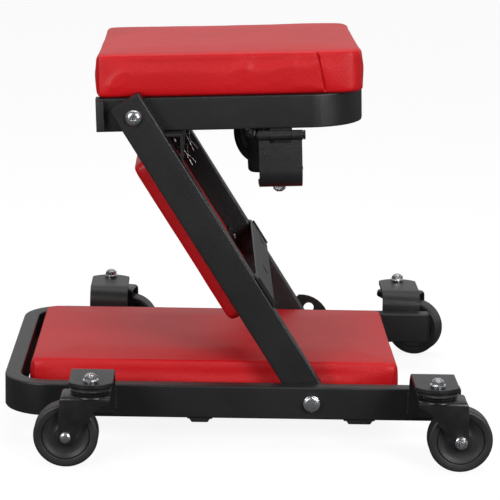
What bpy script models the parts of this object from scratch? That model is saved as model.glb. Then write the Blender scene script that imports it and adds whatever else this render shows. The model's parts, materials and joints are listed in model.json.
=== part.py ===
"""Folding mechanics creeper: a three-section frame that stands as a Z-shaped seat or lies flat on six casters.

Metres, +Z up. The origin is on the floor under the middle of the object as it stands as a seat.
+X runs along the length and -Y is the near side.
"""

import math

import bmesh
import bpy
from mathutils import Matrix, Vector

MM = 0.001

# Rectangular tube that all three frames are bent or cut from
TUBE_HEIGHT = 40 * MM
TUBE_WIDTH = 20 * MM
TUBE_WALL = 2 * MM
TUBE_EDGE = 2.5 * MM
FIT = 0.3 * MM
LANE_GAP = 1.6 * MM

# Casters
WHEEL_RADIUS = 37.5 * MM
WHEEL_WIDTH = 25 * MM
CASTER_TRAIL = 28 * MM
PLATE_TOP = 99 * MM
PLATE_THICKNESS = 5 * MM
BRACKET_WIDTH = 51 * MM
BRACKET_REACH = 72.5 * MM
BRACKET_BEND = 20 * MM

# Base frame
BASE_LEFT = -288 * MM
BASE_RIGHT = 259 * MM
BASE_HALF_WIDTH = 190 * MM
BASE_CORNER = 55 * MM
FRAME_CENTRE = 55 * MM
CASTER_LEFT = -178 * MM
CASTER_RIGHT = 222 * MM
STRAP_SPANS = {"left": (-52 * MM, 27 * MM), "right": (139 * MM, 34 * MM)}
STRAP_DEPTH = 5.5 * MM

# Middle section, leaning from the lower pivot to the upper pivot
LOWER_PIVOT = Vector((81 * MM, 0, FRAME_CENTRE))
STRUT_LENGTH = 400 * MM
STRUT_LEAN = math.radians(32.63)
STRUT_FOOT = 11 * MM
STRUT_HEAD = 21 * MM
PIVOT_RADIUS = 5 * MM
STOP_HEEL_X = -77.4 * MM
STOP_DROP = 52 * MM
STOP_REACH = 40 * MM
STOP_THICKNESS = 3 * MM

# Seat frame, measured along itself from the upper pivot
SEAT_TILT = math.radians(2.3)
SEAT_TAIL = 45 * MM
SEAT_NOSE = 272 * MM
SEAT_CORNER = 65 * MM

# Head casters, hinged to the seat frame and folded under it
HEAD_CASTER_X = 171 * MM
HEAD_PIN_OUT = 5.2 * MM
HEAD_PIN_DROP = 27 * MM
HEAD_BRACKET_RISE = 62 * MM
HEAD_BRACKET_HANG = math.radians(174)
KNUCKLE_RADIUS = 6 * MM
KNUCKLE_SPLIT = 12.4 * MM

# Pads, each a board with a padded cover over it
PAD_EDGE = 9 * MM
BOARD_INSET = 9 * MM
BASE_PAD = {
    "left": -260 * MM,
    "right": 190.5 * MM,
    "half_width": 135 * MM,
    "bottom": 35 * MM,
    "top": 90 * MM,
    "left_corner": 12 * MM,
    "right_corner": 12 * MM,
}
MID_PAD = {
    "left": 123 * MM,
    "right": 349.5 * MM,
    "half_width": 146 * MM,
    "bottom": 8.5 * MM,
    "top": 36 * MM,
    "left_corner": 12 * MM,
    "right_corner": 12 * MM,
}
SEAT_PAD = {
    "left": -46.5 * MM,
    "right": 273 * MM,
    "half_width": 147.8 * MM,
    "bottom": 20.3 * MM,
    "top": 71 * MM,
    "left_corner": 12 * MM,
    "right_corner": 50 * MM,
}
BOARD_THICKNESS = 10 * MM

STRUT_OUTER = BASE_HALF_WIDTH - TUBE_WIDTH - LANE_GAP
STRUT_INNER = STRUT_OUTER - TUBE_WIDTH
SEAT_HALF_WIDTH = STRUT_INNER - LANE_GAP

SIDES = {"near": -1, "far": 1}


def clear_scene():
    for obj in list(bpy.data.objects):
        bpy.data.objects.remove(obj, do_unlink=True)


def new_collection(name):
    collection = bpy.data.collections.new(name)
    bpy.context.scene.collection.children.link(collection)
    return collection


def material(name, colour, roughness, metallic=0.0):
    made = bpy.data.materials.new(name)
    made.use_nodes = True
    shader = made.node_tree.nodes["Principled BSDF"]
    shader.inputs["Base Color"].default_value = (*colour, 1)
    shader.inputs["Roughness"].default_value = roughness
    shader.inputs["Metallic"].default_value = metallic
    made.diffuse_color = (*colour, 1)
    return made


clear_scene()
PARTS = new_collection("mechanics_creeper")
TOOLS = new_collection("cutters")
TOOLS.hide_render = True


# ---------------------------------------------------------------- shape tools


def tool_object(name, data):
    """A helper object that never renders, for joining and cutting."""
    obj = bpy.data.objects.new(name, data)
    TOOLS.objects.link(obj)
    obj.hide_render = True
    obj.display_type = "WIRE"
    return obj


def evaluated_mesh(obj):
    """The object's mesh with its modifiers in it and its own transform applied."""
    bpy.context.view_layer.update()
    graph = bpy.context.evaluated_depsgraph_get()
    mesh = bpy.data.meshes.new_from_object(obj.evaluated_get(graph))
    mesh.transform(obj.matrix_world)
    return mesh


def as_solid(curve_obj):
    """Turns a curve into a mesh helper, with its loose caps welded on."""
    mesh = evaluated_mesh(curve_obj)
    bpy.data.objects.remove(curve_obj, do_unlink=True)
    shape = bmesh.new()
    shape.from_mesh(mesh)
    bmesh.ops.remove_doubles(shape, verts=shape.verts, dist=0.00001)
    bmesh.ops.recalc_face_normals(shape, faces=shape.faces)
    shape.to_mesh(mesh)
    shape.free()
    return tool_object("solid", mesh)


def box(low, high, edge=0.0, segments=2):
    """A box between two corners, its edges rounded if asked."""
    shape = bmesh.new()
    bmesh.ops.create_cube(shape, size=1)
    size = Vector(high) - Vector(low)
    bmesh.ops.scale(shape, vec=size, verts=shape.verts)
    bmesh.ops.translate(shape, vec=(Vector(low) + Vector(high)) / 2, verts=shape.verts)
    mesh = bpy.data.meshes.new("box")
    shape.to_mesh(mesh)
    shape.free()
    obj = tool_object("box", mesh)
    if edge:
        bevel = obj.modifiers.new("edge", "BEVEL")
        bevel.width = edge
        bevel.segments = segments
        baked = evaluated_mesh(obj)
        obj.modifiers.clear()
        obj.data = baked
    return obj


def cylinder(radius, start, end, sides=24):
    """A round or, with few sides, a hexagonal bar between two points."""
    start, end = Vector(start), Vector(end)
    shape = bmesh.new()
    bmesh.ops.create_cone(
        shape, cap_ends=True, segments=sides, radius1=radius, radius2=radius, depth=(end - start).length
    )
    turn = Vector((0, 0, 1)).rotation_difference(end - start).to_matrix()
    bmesh.ops.rotate(shape, cent=(0, 0, 0), matrix=turn, verts=shape.verts)
    bmesh.ops.translate(shape, vec=(start + end) / 2, verts=shape.verts)
    mesh = bpy.data.meshes.new("cylinder")
    shape.to_mesh(mesh)
    shape.free()
    return tool_object("cylinder", mesh)


def outline(points, thickness, holes=()):
    """A flat outline in XY, centred on z = 0, with that thickness."""
    curve = bpy.data.curves.new("outline", "CURVE")
    curve.dimensions = "2D"
    curve.fill_mode = "BOTH"
    curve.extrude = thickness / 2
    for ring in (points, *holes):
        spline = curve.splines.new("POLY")
        spline.points.add(len(ring) - 1)
        for point, (x, y) in zip(spline.points, ring):
            point.co = (x, y, 0, 1)
        spline.use_cyclic_u = True
    return as_solid(tool_object("outline", curve))


def arc(centre, radius, start, end, steps):
    """Points on an arc, from one angle to another in degrees."""
    angles = [math.radians(start + (end - start) * i / steps) for i in range(steps + 1)]
    return [(centre[0] + radius * math.cos(a), centre[1] + radius * math.sin(a)) for a in angles]


def rounded_rectangle(width, height, radius, steps=2):
    x, y = width / 2 - radius, height / 2 - radius
    return (
        arc((x, y), radius, 0, 90, steps)
        + arc((-x, y), radius, 90, 180, steps)
        + arc((-x, -y), radius, 180, 270, steps)
        + arc((x, -y), radius, 270, 360, steps)
    )


def stand_up(obj):
    """Turns an outline drawn in XY so that its Y becomes Z and its thickness runs along Y."""
    obj.data.transform(Matrix.Rotation(math.radians(90), 4, "X"))
    return obj


def sweep(section, path):
    """A bar of the given section along a flat path of points, its section upright."""
    profile = bpy.data.curves.new("section", "CURVE")
    profile.dimensions = "2D"
    ring = profile.splines.new("POLY")
    ring.points.add(len(section) - 1)
    for point, (x, y) in zip(ring.points, section):
        point.co = (x, y, 0, 1)
    ring.use_cyclic_u = True
    profile_obj = tool_object("section", profile)
    curve = bpy.data.curves.new("path", "CURVE")
    curve.dimensions = "3D"
    curve.twist_mode = "Z_UP"
    curve.bevel_mode = "OBJECT"
    curve.bevel_object = profile_obj
    curve.use_fill_caps = True
    line = curve.splines.new("POLY")
    line.points.add(len(path) - 1)
    for point, (x, y, z) in zip(line.points, path):
        point.co = (x, y, z, 1)
    solid = as_solid(tool_object("path", curve))
    bpy.data.objects.remove(profile_obj, do_unlink=True)
    return solid


def turned(profile, steps):
    """A solid of revolution about Z from (radius, height) points that run down its outer side."""
    mesh = bpy.data.meshes.new("profile")
    shape = bmesh.new()
    verts = [shape.verts.new((r, 0, z)) for r, z in profile]
    ring = verts if profile[0][0] < 1e-9 else verts + [verts[0]]
    for first, second in zip(ring, ring[1:]):
        shape.edges.new((first, second))
    shape.to_mesh(mesh)
    shape.free()
    obj = tool_object("turned", mesh)
    screw = obj.modifiers.new("turn", "SCREW")
    screw.steps = steps
    screw.render_steps = steps
    screw.use_merge_vertices = True
    screw.merge_threshold = 0.00001
    baked = evaluated_mesh(obj)
    obj.modifiers.clear()
    shape = bmesh.new()
    shape.from_mesh(baked)
    bmesh.ops.remove_doubles(shape, verts=shape.verts, dist=0.00001)
    bmesh.ops.recalc_face_normals(shape, faces=shape.faces)
    shape.to_mesh(baked)
    shape.free()
    obj.data = baked
    return obj


def combine(operation, first, others):
    """Joins to, or cuts from, the first helper each of the others, and uses them up."""
    for other in others:
        boolean = first.modifiers.new("combine", "BOOLEAN")
        boolean.operation = operation
        boolean.object = other
        baked = evaluated_mesh(first)
        first.modifiers.clear()
        first.data = baked
        bpy.data.objects.remove(other, do_unlink=True)
    return first


def join(first, *others):
    return combine("UNION", first, others)


def cut(first, *others):
    return combine("DIFFERENCE", first, others)


def finished(tool):
    """Takes the mesh out of a helper, shaded smooth except at its sharp edges."""
    mesh = tool.data
    bpy.data.objects.remove(tool, do_unlink=True)
    mesh.shade_smooth()
    mesh.set_sharp_from_angle(angle=math.radians(32))
    return mesh


def place(name, mesh, finish, parent=None, matrix=None):
    """Puts a finished mesh in the assembly as one named part."""
    obj = bpy.data.objects.new(name, mesh)
    PARTS.objects.link(obj)
    if not mesh.materials:
        mesh.materials.append(finish)
    obj.parent = parent
    if matrix is not None:
        obj.matrix_basis = matrix
    return obj


def joint_frame(name, matrix, parent=None):
    """An empty on a joint's axis, which the moving parts hang from."""
    empty = bpy.data.objects.new(name, None)
    empty.empty_display_size = 0.02
    PARTS.objects.link(empty)
    empty.parent = parent
    empty.matrix_basis = matrix
    return empty


# ---------------------------------------------------------------- finishes

BLACK_PAINT = material("black_paint", (0.022, 0.022, 0.025), 0.45, 0.2)
RED_VINYL = material("red_vinyl", (0.52, 0.012, 0.02), 0.4)
PLYWOOD = material("plywood", (0.36, 0.24, 0.13), 0.75)
ZINC = material("zinc", (0.72, 0.72, 0.74), 0.28, 0.95)
BLACK_RUBBER = material("black_rubber", (0.03, 0.03, 0.032), 0.55)
BLACK_PLASTIC = material("black_plastic", (0.025, 0.025, 0.027), 0.5)
STAMPED_STEEL = material("stamped_steel", (0.035, 0.035, 0.038), 0.4, 0.4)


# ---------------------------------------------------------------- frames


def u_path(closed_x, open_x, half_width, corner):
    """The centre line of a U-shaped frame whose closed end is at closed_x."""
    way = 1 if open_x > closed_x else -1
    y = half_width - TUBE_WIDTH / 2
    radius = corner - TUBE_WIDTH / 2
    middle_x = closed_x + way * (TUBE_WIDTH / 2 + radius)
    points = [(open_x, -y)]
    near = arc((0, 0), radius, 270, 180, 8)
    points += [(middle_x + way * px, -(y - radius) + py) for px, py in near]
    far = arc((0, 0), radius, 180, 90, 8)
    points += [(middle_x + way * px, y - radius + py) for px, py in far]
    points.append((open_x, y))
    return [(px, py, 0) for px, py in points]


def bent_tube(closed_x, open_x, half_width, corner):
    """A U of rectangular tube with open ends."""
    path = u_path(closed_x, open_x, half_width, corner)
    outer = rounded_rectangle(TUBE_WIDTH, TUBE_HEIGHT, TUBE_EDGE)
    bore_width = TUBE_WIDTH - 2 * TUBE_WALL
    bore_height = TUBE_HEIGHT - 2 * TUBE_WALL
    bore = rounded_rectangle(bore_width, bore_height, TUBE_EDGE / 2, 1)
    beyond = 0.005 if open_x > closed_x else -0.005
    bore_path = list(path)
    bore_path[0] = (path[0][0] + beyond, path[0][1], 0)
    bore_path[-1] = (path[-1][0] + beyond, path[-1][1], 0)
    return cut(sweep(outer, path), sweep(bore, bore_path))


def cross_hole(x, radius, half_width, z=0.0):
    """A cutter through both rails of a frame, along Y."""
    return cylinder(radius, (x, -half_width - 0.01, z), (x, half_width + 0.01, z), 16)


def base_frame():
    tube = bent_tube(BASE_LEFT, BASE_RIGHT - 2 * MM, BASE_HALF_WIDTH, BASE_CORNER)
    tube.data.transform(Matrix.Translation((0, 0, FRAME_CENTRE)))
    bore = cross_hole(LOWER_PIVOT.x, PIVOT_RADIUS + FIT, BASE_HALF_WIDTH, FRAME_CENTRE)
    place("base_frame", finished(cut(tube, bore)), BLACK_PAINT)


def base_end_caps():
    """Plastic plugs in the open rail ends: a flange over the tube and a stub inside it."""
    flange = stand_up(outline(rounded_rectangle(TUBE_WIDTH, TUBE_HEIGHT, TUBE_EDGE), 2 * MM - FIT))
    inner_width = TUBE_WIDTH - 2 * TUBE_WALL - 2 * FIT
    inner_height = TUBE_HEIGHT - 2 * TUBE_WALL - 2 * FIT
    stub = stand_up(outline(rounded_rectangle(inner_width, inner_height, TUBE_EDGE), 14 * MM))
    stub.data.transform(Matrix.Translation((0, 7 * MM, 0)))
    plug = join(flange, stub)
    plug.data.transform(Matrix.Rotation(math.radians(90), 4, "Z"))
    mesh = finished(plug)
    for side, sign in SIDES.items():
        y = sign * (BASE_HALF_WIDTH - TUBE_WIDTH / 2)
        spot = Matrix.Translation((BASE_RIGHT - MM + FIT / 2, y, FRAME_CENTRE))
        place(f"base_end_cap_{side}", mesh, BLACK_PLASTIC, matrix=spot)


def base_straps():
    """Tapered cross channels with closed ends, welded under the rails to carry the board."""
    top = FRAME_CENTRE - TUBE_HEIGHT / 2 - FIT
    reach = BASE_HALF_WIDTH - 3 * MM
    wall = 2 * MM
    for name, (middle, width) in STRAP_SPANS.items():
        half = width / 2
        taper = 4 * MM
        section = [(-half, 0), (-half + taper, -STRAP_DEPTH), (half - taper, -STRAP_DEPTH), (half, 0)]
        channel = stand_up(outline(section, 2 * reach))
        low = (-half + taper + wall, -reach + wall, -STRAP_DEPTH - MM)
        inside = box(low, (half - taper - wall, reach - wall, -wall))
        spot = Matrix.Translation((middle, 0, top))
        place(f"base_strap_{name}", finished(cut(channel, inside)), BLACK_PAINT, matrix=spot)


def lock_plate():
    """A flat quadrant on the far rail beside the lower pivot, with an eye for a lock pin."""
    rim = arc((3 * MM, 0), 40 * MM, 94, 14, 8)
    points = [(-14 * MM, -13 * MM), (-14 * MM, 26 * MM), *rim, (44 * MM, 0), (44 * MM, -13 * MM)]
    eye = arc((14 * MM, 22 * MM), 7 * MM, 0, 345, 23)
    plate = stand_up(outline(points[::-1], 3 * MM, (eye,)))
    plate = cut(plate, cylinder(10.5 * MM, (0, -0.01, 0), (0, 0.01, 0), 20))
    y = BASE_HALF_WIDTH + FIT + 1.5 * MM
    spot = Matrix.Translation((LOWER_PIVOT.x, y, FRAME_CENTRE))
    place("lock_plate", finished(plate), BLACK_PAINT, matrix=spot)


# ---------------------------------------------------------------- pads


def pad_plan(size, inset):
    """A pad's outline seen from above, its corners rounded, drawn in by the inset all round."""
    left, right, half = size["left"] + inset, size["right"] - inset, size["half_width"] - inset
    left_corner, right_corner = size["left_corner"] - inset, size["right_corner"] - inset
    return (
        arc((right - right_corner, half - right_corner), right_corner, 0, 90, 3)
        + arc((left + left_corner, half - left_corner), left_corner, 90, 180, 3)
        + arc((left + left_corner, left_corner - half), left_corner, 180, 270, 3)
        + arc((right - right_corner, right_corner - half), right_corner, 270, 360, 3)
    )


def pad_slab(size, inset, bottom, top):
    slab = outline(pad_plan(size, inset), top - bottom)
    slab.data.transform(Matrix.Translation((0, 0, (bottom + top) / 2)))
    return slab


def pad_and_board(name, size, parent=None, matrix=None):
    """A padded block, its rims rounded, with a board let into its underside."""
    bottom, top = size["bottom"], size["top"]
    block = pad_slab(size, 0, bottom, top)
    rim = block.modifiers.new("rim", "BEVEL")
    rim.width = PAD_EDGE
    rim.segments = 2
    rim.limit_method = "ANGLE"
    rim.angle_limit = math.radians(45)
    rounded = evaluated_mesh(block)
    block.modifiers.clear()
    block.data = rounded
    pocket = pad_slab(size, BOARD_INSET - FIT, bottom - 10 * MM, bottom + BOARD_THICKNESS + FIT)
    place(f"{name}_pad", finished(cut(block, pocket)), RED_VINYL, parent, matrix)
    board = pad_slab(size, BOARD_INSET, bottom, bottom + BOARD_THICKNESS)
    place(f"{name}_board", finished(board), PLYWOOD, parent, matrix)


# ---------------------------------------------------------------- fasteners


def pivot_bolt_mesh(grip, head_radius, head_sides):
    """A pivot bolt along Y, its head at -Y, with a nut tightened on its other end."""
    head_high = 6 * MM
    washer = cylinder(10 * MM, (0, -FIT, 0), (0, -FIT - 1.5 * MM, 0), 20)
    head = cylinder(head_radius, (0, -MM, 0), (0, -FIT - 1.2 * MM - head_high, 0), head_sides)
    shank = cylinder(PIVOT_RADIUS, (0, -4 * MM, 0), (0, grip + 10 * MM, 0), 16)
    nut = cylinder(8 * MM, (0, grip + FIT, 0), (0, grip + 8 * MM, 0), 6)
    return finished(join(head, washer, shank, nut))


def pivot_bolts(parent_upper):
    """Lower bolts join the base rails to the struts, upper bolts the struts to the seat rails."""
    lower_grip = BASE_HALF_WIDTH - STRUT_INNER
    upper_grip = STRUT_OUTER - (SEAT_HALF_WIDTH - TUBE_WIDTH)
    lower = pivot_bolt_mesh(lower_grip, 8 * MM, 6)
    upper = pivot_bolt_mesh(upper_grip, 8.6 * MM, 20)
    for side, sign in SIDES.items():
        turn = Matrix.Identity(4) if sign < 0 else Matrix.Rotation(math.pi, 4, "Z")
        spot = Matrix.Translation((LOWER_PIVOT.x, sign * BASE_HALF_WIDTH, FRAME_CENTRE))
        place(f"lower_pivot_bolt_{side}", lower, ZINC, matrix=spot @ turn)
        spot = Matrix.Translation((STRUT_LENGTH, sign * STRUT_OUTER, 0))
        place(f"upper_pivot_bolt_{side}", upper, ZINC, parent_upper, spot @ turn)


# ---------------------------------------------------------------- middle section

# The middle section is drawn lying along +X from the lower pivot, its pad side up, and turned up into place.
STRUT_TURN = math.radians(90) + STRUT_LEAN


def strut_mesh():
    """A straight tube with pivot holes and two tabs for the board, drawn for the far side."""
    middle = (STRUT_INNER + STRUT_OUTER) / 2
    outer = rounded_rectangle(TUBE_WIDTH, TUBE_HEIGHT, TUBE_EDGE)
    bore = rounded_rectangle(TUBE_WIDTH - 2 * TUBE_WALL, TUBE_HEIGHT - 2 * TUBE_WALL, TUBE_EDGE / 2, 1)
    start, end = -STRUT_FOOT, STRUT_LENGTH + STRUT_HEAD
    bar = sweep(outer, [(start, middle, 0), (end, middle, 0)])
    hollow = sweep(bore, [(start - 0.005, middle, 0), (end + 0.005, middle, 0)])
    tube = cut(bar, hollow)
    for x in (0, STRUT_LENGTH):
        hole = cylinder(PIVOT_RADIUS + FIT, (x, STRUT_INNER - 0.01, 0), (x, STRUT_OUTER + 0.01, 0), 16)
        tube = cut(tube, hole)
    underside = MID_PAD["bottom"] - FIT
    for x in (160 * MM, 312 * MM):
        low = (x - 13 * MM, STRUT_INNER - 20 * MM, underside - 3 * MM)
        high = (x + 13 * MM, STRUT_INNER + 0.6 * MM, underside)
        tube = join(tube, box(low, high))
    return finished(tube)


def cross_plate():
    """A flat tie across the undersides of both struts, its ends folded over their outer faces."""
    start, end = 120 * MM, 162 * MM
    top = -TUBE_HEIGHT / 2 - FIT
    reach = STRUT_OUTER - MM
    plate = box((start, -reach, top - 3 * MM), (end, reach, top), 1 * MM, 1)
    lip_low = top - 5.5 * MM
    for sign in (-1, 1):
        edge = sorted((sign * reach, sign * (reach - 3 * MM)))
        plate = join(plate, box((start + 3 * MM, edge[0], lip_low), (end - 3 * MM, edge[1], top - 1.5 * MM)))
    hole_x = 136 * MM
    for y in (-36 * MM, 129 * MM):
        plate = cut(plate, cylinder(6 * MM, (hole_x, y, top - 0.02), (hole_x, y, top + 0.01), 20))
    return finished(plate)


def stop_angle():
    """An angle iron across the struts that the seat rails rest on, its toes cut to the struts' slope."""
    heel = Vector((STOP_HEEL_X, 0))
    rail_middle = LOWER_PIVOT.z + STRUT_LENGTH * math.cos(STRUT_LEAN)
    pivot_x = LOWER_PIVOT.x - STRUT_LENGTH * math.sin(STRUT_LEAN)
    rise = (heel.x - pivot_x) * math.tan(SEAT_TILT)
    heel.y = rail_middle + rise - (TUBE_HEIGHT / 2) / math.cos(SEAT_TILT) - FIT
    points = [
        (0, 0),
        (0, -STOP_DROP),
        (-STOP_THICKNESS, -STOP_DROP),
        (-STOP_THICKNESS, -STOP_THICKNESS),
        (-STOP_REACH, -STOP_THICKNESS),
        (-STOP_REACH, 0),
    ]
    angle = stand_up(outline(points, 2 * STRUT_OUTER))
    angle.data.transform(Matrix.Rotation(-SEAT_TILT, 4, "Y"))
    angle.data.transform(Matrix.Translation((heel.x, 0, heel.y)))
    slope = box((-0.1, -0.3, -0.06), (0.5, 0.3, TUBE_HEIGHT / 2 + FIT))
    slope.data.transform(Matrix.Rotation(-STRUT_TURN, 4, "Y") @ Matrix.Rotation(math.pi, 4, "X"))
    slope.data.transform(Matrix.Translation(LOWER_PIVOT))
    return finished(cut(angle, slope))


def middle_section():
    turned_up = Matrix.Translation(LOWER_PIVOT) @ Matrix.Rotation(-STRUT_TURN, 4, "Y")
    hinge = joint_frame("middle_hinge", turned_up)
    strut = strut_mesh()
    place("strut_far", strut, BLACK_PAINT, hinge)
    mirrored = strut.copy()
    mirrored.transform(Matrix.Scale(-1, 4, (0, 1, 0)))
    mirrored.flip_normals()
    place("strut_near", mirrored, BLACK_PAINT, hinge)
    place("cross_plate", cross_plate(), BLACK_PAINT, hinge)
    place("stop_angle", stop_angle(), BLACK_PAINT, hinge, turned_up.inverted())
    pad_and_board("mid", MID_PAD, hinge)
    return hinge


# ---------------------------------------------------------------- casters


def plate_section(leg_low, leg_out, bend_steps=5):
    """Side outline of a caster bracket: a plate at z = 0 that bends down into a leg."""
    outer = BRACKET_BEND
    inner = outer - PLATE_THICKNESS
    centre = (leg_out - outer, -outer)
    reach = -14 * MM
    return (
        [(reach, -PLATE_THICKNESS), (reach, 0)]
        + arc(centre, outer, 90, 0, bend_steps)
        + [(leg_out, leg_low), (leg_out - PLATE_THICKNESS, leg_low)]
        + arc(centre, inner, 0, 90, bend_steps)
    )


def bracket_solid(leg_low, leg_out):
    """A bracket about its stem axis: leg at +Y, plate's rounded end at -Y, plate top at z = 0."""
    section = outline(plate_section(leg_low, leg_out)[::-1], BRACKET_WIDTH)
    section.data.transform(Matrix.Rotation(math.radians(90), 4, "X"))
    section.data.transform(Matrix.Rotation(math.radians(90), 4, "Z"))
    half = BRACKET_WIDTH / 2
    nose = arc((0, 19 * MM), 33 * MM, 218, 322, 8)
    trim = [(-half - MM, 0.1), (-half - MM, -MM), *nose, (half + MM, -MM), (half + MM, 0.1)]
    keep = outline(trim[::-1], 0.4)
    section = combine("INTERSECT", section, [keep])
    hole = cylinder(5.4 * MM, (0, 0, -0.02), (0, 0, 0.02), 12)
    return cut(section, hole)


def base_bracket_mesh():
    return finished(bracket_solid(-58 * MM, BRACKET_REACH - FIT))


def knuckle(x_low, x_high):
    """A hinge barrel along X, before its bore."""
    return cylinder(KNUCKLE_RADIUS, (x_low, 0, 0), (x_high, 0, 0), 16)


def head_bracket_mesh():
    """A bracket whose leg ends in two hinge knuckles around its pin."""
    leg_out = BRACKET_REACH + PLATE_THICKNESS / 2
    pin_y, pin_z = BRACKET_REACH, -HEAD_BRACKET_RISE
    solid = bracket_solid(pin_z + 15 * MM, leg_out)
    half = BRACKET_WIDTH / 2
    inner_face, outer_face = pin_y - 2.3 * MM, pin_y + 0.8 * MM
    web = box((-half, inner_face, pin_z + 9 * MM), (half, outer_face, pin_z + 16.5 * MM))
    solid = join(solid, web)
    gap = KNUCKLE_SPLIT + 0.4 * MM
    for low, high in ((-half - MM, -gap), (gap, half + MM)):
        barrel = knuckle(low, high)
        barrel.data.transform(Matrix.Translation((0, pin_y, pin_z)))
        inner = max(low, -half) if low < 0 else low
        outer = min(high, half)
        neck = box((inner, inner_face, pin_z), (outer, outer_face, pin_z + 12 * MM))
        solid = join(solid, neck, barrel)
    bore = cylinder(4.2 * MM, (-0.05, pin_y, pin_z), (0.05, pin_y, pin_z), 12)
    return finished(cut(solid, bore))


def kingpin_mesh():
    """The bolt the caster swivels on, its nut and washers above the plate and its head in the crown."""
    spacer = cylinder(8 * MM, (0, 0, FIT), (0, 0, 2.4 * MM), 20)
    washer = cylinder(9.4 * MM, (0, 0, 2.2 * MM), (0, 0, 3.4 * MM), 20)
    nut = cylinder(7.8 * MM, (0, 0, 3.2 * MM), (0, 0, 9 * MM), 6)
    shank = cylinder(4.9 * MM, (0, 0, 10.4 * MM), (0, 0, -17 * MM), 12)
    head = cylinder(8.5 * MM, (0, 0, -15.9 * MM), (0, 0, -19.5 * MM), 12)
    return finished(join(nut, washer, spacer, shank, head))


def race_mesh():
    """The bearing cup between the plate and the fork's crown."""
    top = -PLATE_THICKNESS - FIT
    profile = [
        (6 * MM, top),
        (22.5 * MM, top),
        (23.5 * MM, top - 1.2 * MM),
        (23.5 * MM, top - 3 * MM),
        (20.5 * MM, top - 4 * MM),
        (20.5 * MM, top - 6.8 * MM),
        (6 * MM, top - 6.8 * MM),
    ]
    return finished(turned(profile, 20))


def fork_mesh():
    """A stamped fork: a round-shouldered crown with two legs that sweep back to the axle."""
    crown_top = -12.4 * MM
    crown = 3 * MM
    leg_inner = 15.2 * MM
    leg = 2.8 * MM
    axle = (-CASTER_TRAIL, PLATE_TOP * -1 + WHEEL_RADIUS)
    cheek_top = crown_top - 1.7 * MM
    rear = (-28.5 * MM, cheek_top - 6.5 * MM)
    cheek = [
        *arc(rear, 6.5 * MM, 90, 180, 5),
        (-36.5 * MM, axle[1]),
        *arc(axle, 8.5 * MM, 190, 330, 6),
        (-15 * MM, -57.5 * MM),
        (-6.5 * MM, -45.6 * MM),
        (3.6 * MM, -33.3 * MM),
        (9 * MM, -25.6 * MM),
        (12.5 * MM, -23.5 * MM),
        (22 * MM, -20.4 * MM),
        (22.4 * MM, cheek_top),
    ]
    wide = leg_inner + leg + 0.3 * MM
    solid = box((-30.5 * MM, -wide, crown_top - crown), (23 * MM, wide, crown_top), 1.2 * MM, 1)
    shoulder = cylinder(22 * MM, (0, 0, crown_top - crown + 0.4 * MM), (0, 0, crown_top - 0.4 * MM), 20)
    solid = join(solid, shoulder)
    for sign in (-1, 1):
        side = stand_up(outline(cheek, leg))
        side.data.transform(Matrix.Translation((0, sign * (leg_inner + leg / 2), 0)))
        solid = join(solid, side)
    solid = cut(solid, cylinder(5.3 * MM, (0, 0, -0.03), (0, 0, 0), 12))
    bore = cylinder(4.35 * MM, (axle[0], -0.03, axle[1]), (axle[0], 0.03, axle[1]), 12)
    return finished(cut(solid, bore))


def wheel_mesh():
    """A one-piece wheel about its own axle, with a raised hub and a groove below the tread."""
    half = WHEEL_WIDTH / 2
    tread = WHEEL_RADIUS
    side = [
        (tread, half - 3 * MM),
        (tread - 2.6 * MM, half),
        (tread - 10.4 * MM, half),
        (tread - 10.8 * MM, half - 1.6 * MM),
        (tread - 12.2 * MM, half - 1.6 * MM),
        (tread - 12.6 * MM, half - 0.4 * MM),
        (13 * MM, half - 2 * MM),
        (11 * MM, half + 1.8 * MM),
    ]
    bore = 4.4 * MM
    upper = [(bore, half + 1.8 * MM)] + side[::-1]
    lower = [(r, -z) for r, z in side] + [(bore, -half - 1.8 * MM)]
    wheel = turned(upper + lower, 26)
    wheel.data.transform(Matrix.Rotation(math.radians(90), 4, "X"))
    return finished(wheel)


def axle_mesh():
    """The axle bolt, its domed head at -Y and its nut at +Y."""
    face = 18 * MM + FIT
    head = cylinder(6.8 * MM, (0, -face, 0), (0, -face - 1.6 * MM, 0), 16)
    dome = cylinder(5 * MM, (0, -face - MM, 0), (0, -face - 3.2 * MM, 0), 16)
    shank = cylinder(4 * MM, (0, -face - MM, 0), (0, face + 7 * MM, 0), 12)
    nut = cylinder(7.4 * MM, (0, face, 0), (0, face + 5.5 * MM, 0), 6)
    return finished(join(head, dome, shank, nut))


def caster_meshes():
    return {
        "kingpin": kingpin_mesh(),
        "race": race_mesh(),
        "fork": fork_mesh(),
        "wheel": wheel_mesh(),
        "axle": axle_mesh(),
    }


def caster(name, meshes, stem, swivel, parent=None):
    """One caster under a bracket: the bolt and cup stay, the fork swivels and the wheel rolls."""
    place(f"kingpin_{name}", meshes["kingpin"], ZINC, parent, stem)
    place(f"race_{name}", meshes["race"], STAMPED_STEEL, parent, stem)
    turning = joint_frame(f"swivel_{name}", stem @ Matrix.Rotation(swivel, 4, "Z"), parent)
    place(f"fork_{name}", meshes["fork"], STAMPED_STEEL, turning)
    at_axle = Matrix.Translation((-CASTER_TRAIL, 0, WHEEL_RADIUS - PLATE_TOP))
    place(f"axle_{name}", meshes["axle"], ZINC, turning, at_axle)
    place(f"wheel_{name}", meshes["wheel"], BLACK_RUBBER, turning, at_axle)


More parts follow.
